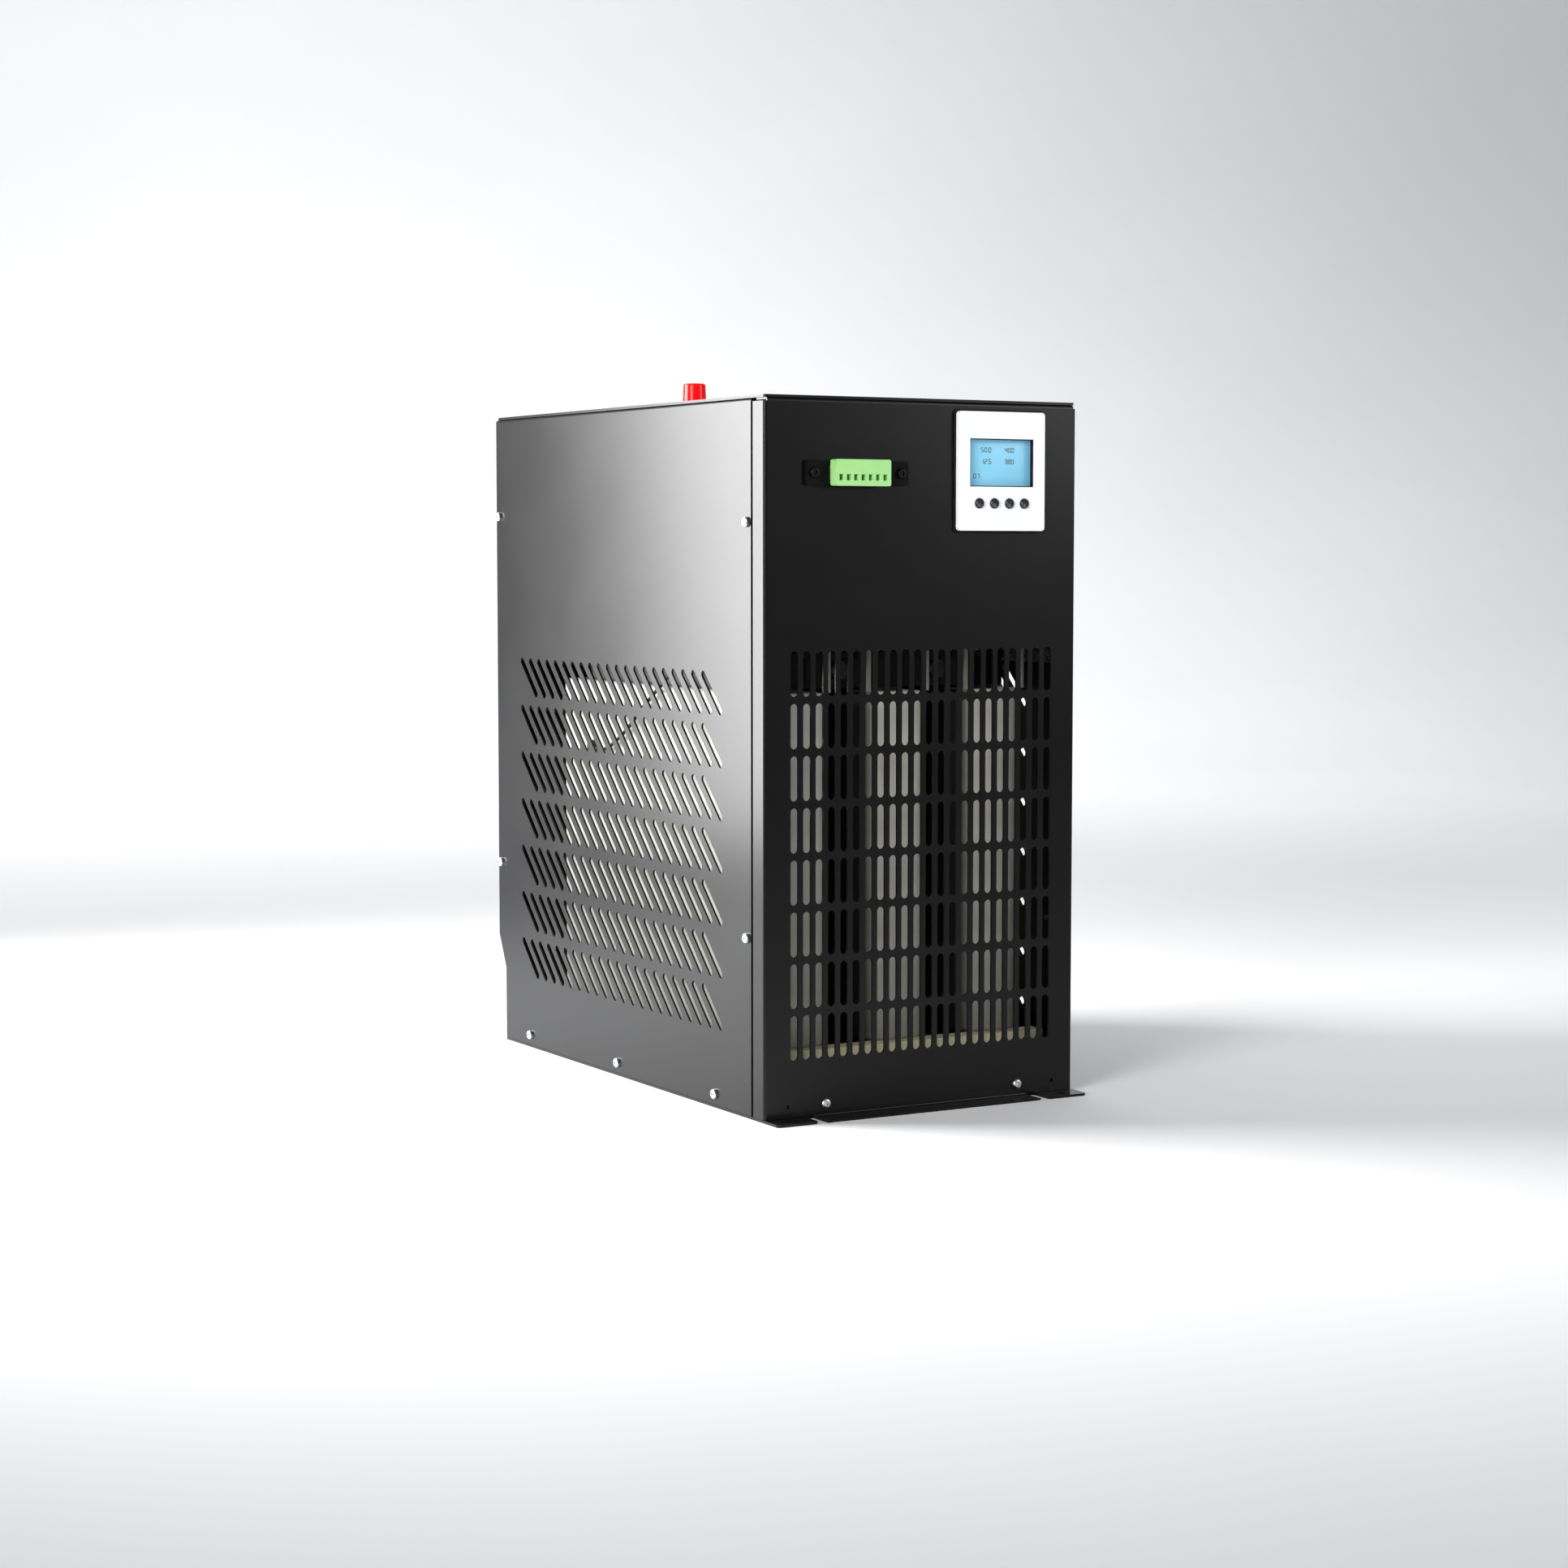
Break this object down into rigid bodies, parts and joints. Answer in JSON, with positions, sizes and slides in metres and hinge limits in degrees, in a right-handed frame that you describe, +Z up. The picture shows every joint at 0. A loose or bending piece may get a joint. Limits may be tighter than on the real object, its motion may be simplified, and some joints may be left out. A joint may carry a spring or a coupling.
{
  "type": "cabinet inverter with three-phase filter reactor",
  "caption": "Upright black sheet-metal inverter cabinet with slotted grilles, a display with keys, a pull-off signal plug, a red lamp and a filter reactor behind the vents.",
  "frame": {"origin": "centre of the case's footprint on the underside of the base plate", "axes": "+Z up, -Y out of the front panel, +X to the right of someone facing the front"},
  "size_m": [0.2104, 0.385, 0.421],
  "materials": {
    "black_coat": "satin fine-texture powder coat",
    "black_oxide": "black-oxide steel",
    "zinc": "bright zinc plate",
    "white_plastic": "satin moulded plastic",
    "black_rubber": "matt",
    "clear_window": "polished",
    "display_glass": "back-lit liquid-crystal panel",
    "circuit_board": "solder mask",
    "black_plastic": "moulded",
    "green_plastic": "moulded",
    "tin": "tin plate",
    "red_lens": "translucent moulded",
    "black_enamel": "varnished silicon-steel laminations",
    "coil_tape": "varnished glass-cloth tape",
    "cream_laminate": "glass-polyester laminate",
    "sleeving": "glass sleeving",
    "cable_jacket": "matt",
    "bare_aluminium": "extruded",
    "module_plastic": "moulded",
    "capacitor_sleeve": "shrink sleeve",
    "fan_plastic": "moulded",
    "grey_plastic": "moulded",
    "brass": "turned"
  },
  "bodies": {
    "case": {"base_plate": "black_coat", "base_rail_left": "black_coat", "base_rail_right": "black_coat", "base_rail_front": "black_coat", "base_rail_rear": "black_coat", "post_front_left": "black_coat", "post_front_right": "black_coat", "front_panel": "black_coat", "left_side_panel": "black_coat", "right_side_panel": "black_coat", "rear_panel": "black_coat", "top_cover": "black_coat", "core_clamps": "black_coat", "header_screws": "black_oxide", "mid_shelf": "zinc", "tie_rods": "zinc", "side_screws": "zinc", "front_screws": "zinc", "fan_screws": "zinc", "cover_screws": "zinc", "lamp_nut": "zinc", "board_standoffs": "zinc", "display_bezel": "white_plastic", "display_gasket": "black_rubber", "display_window": "clear_window", "display_glass": "display_glass", "display_board": "circuit_board", "power_board": "circuit_board", "control_board": "circuit_board", "button_switches": "black_plastic", "terminal_header": "black_plastic", "lamp_body": "black_plastic", "dc_connectors": "black_plastic", "header_pins": "tin", "lamp_lens": "red_lens", "core_yoke_bottom": "black_enamel", "core_yoke_top": "black_enamel", "core_legs": "black_enamel", "coil_1": "coil_tape", "coil_2": "coil_tape", "coil_3": "coil_tape", "support_bar_front": "cream_laminate", "support_bar_rear": "cream_laminate", "coil_leads": "sleeving", "thermal_lead": "cable_jacket", "heatsink": "bare_aluminium", "power_modules": "module_plastic", "lead_terminals": "module_plastic", "thermal_switch": "module_plastic", "dc_capacitors": "capacitor_sleeve", "fan_frame": "fan_plastic", "ac_terminal_block": "grey_plastic", "earth_stud": "brass"},
    "button_1": {"button_1": "black_plastic"},
    "button_2": {"button_2": "black_plastic"},
    "button_3": {"button_3": "black_plastic"},
    "button_4": {"button_4": "black_plastic"},
    "signal_plug": {"terminal_plug": "green_plastic", "plug_clamp_screws": "zinc"},
    "rotor": {"fan_rotor": "fan_plastic"}
  },
  "joints": [
    {"name": "button_1_press", "type": "slide", "parent": "case", "child": "button_1", "axis": [0, 1, 0], "range_m": [0, 0.0007], "stiffness_N_per_m": 2300},
    {"name": "button_2_press", "type": "slide", "parent": "case", "child": "button_2", "axis": [0, 1, 0], "range_m": [0, 0.0007], "stiffness_N_per_m": 2300},
    {"name": "button_3_press", "type": "slide", "parent": "case", "child": "button_3", "axis": [0, 1, 0], "range_m": [0, 0.0007], "stiffness_N_per_m": 2300},
    {"name": "button_4_press", "type": "slide", "parent": "case", "child": "button_4", "axis": [0, 1, 0], "range_m": [0, 0.0007], "stiffness_N_per_m": 2300},
    {"name": "plug_pull", "type": "slide", "parent": "case", "child": "signal_plug", "axis": [0, -1, 0], "range_m": [0, 0.016]},
    {"name": "fan_spin", "type": "hinge", "parent": "case", "child": "rotor", "pos_m": [0, 0.16, 0.331], "axis": [0, 1, 0], "continuous": true}
  ]
}
